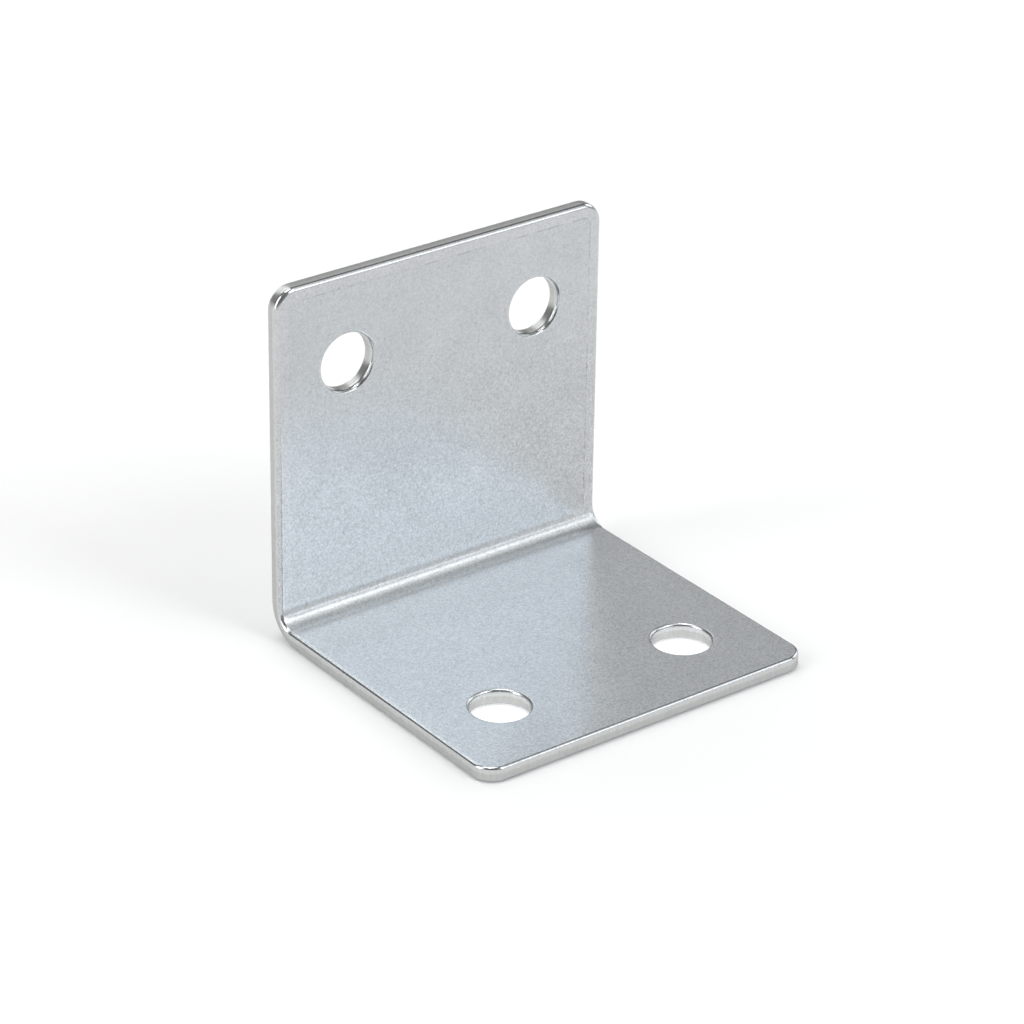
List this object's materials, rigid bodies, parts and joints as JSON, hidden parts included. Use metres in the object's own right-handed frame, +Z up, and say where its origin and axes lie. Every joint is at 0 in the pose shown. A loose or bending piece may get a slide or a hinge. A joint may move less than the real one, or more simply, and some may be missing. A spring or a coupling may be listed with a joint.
{
  "type": "angle bracket",
  "caption": "L-shaped angle bracket folded from sheet steel, with rounded corners and edges, round screw holes in both leaves and a bright zinc finish.",
  "frame": {"origin": "middle of the footprint, on the plane that the foot stands on", "axes": "+Z up the wall leaf, +Y out of the wall leaf's back face, +X along the fold; the foot reaches forward along -Y"},
  "size_m": [0.036, 0.033, 0.0346],
  "materials": {
    "zinc_plated_steel": "blue-passivated zinc plate, semi-gloss, finely mottled"
  },
  "bodies": {
    "root": {"bracket": "zinc_plated_steel"}
  },
  "joints": []
}
